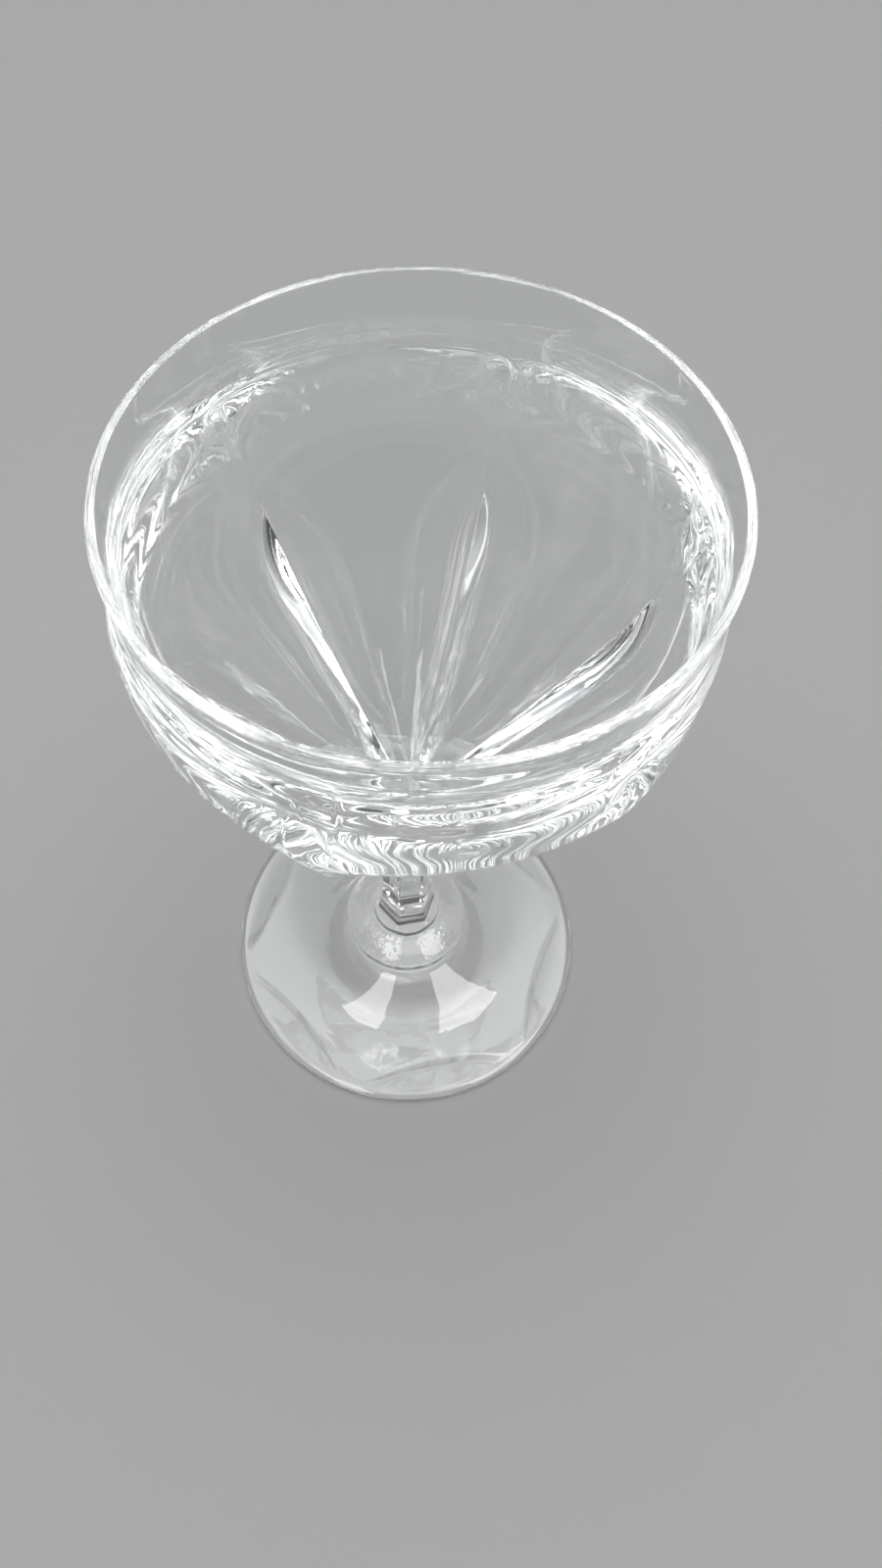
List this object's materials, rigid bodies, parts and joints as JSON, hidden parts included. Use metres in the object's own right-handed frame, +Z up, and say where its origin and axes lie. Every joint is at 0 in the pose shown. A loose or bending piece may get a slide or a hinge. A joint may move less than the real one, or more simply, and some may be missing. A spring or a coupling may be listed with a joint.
{
  "type": "port glass",
  "caption": "Stemmed port glass in clear cut crystal: panelled bowl with a plain rim band, faceted stem, round knop and round foot.",
  "frame": {"origin": "on the table, under the centre of the foot", "axes": "+Z up along the glass's axis; one cut panel of the bowl faces -Y"},
  "size_m": [0.0664, 0.0654, 0.121],
  "materials": {
    "bowl": "clear crystal, polished, cut panels",
    "stem": "clear crystal, polished facets",
    "knop": "clear crystal, fire-polished",
    "foot": "clear crystal, fire-polished"
  },
  "bodies": {
    "root": {"bowl": "bowl", "stem": "stem", "knop": "knop", "foot": "foot"}
  },
  "joints": []
}
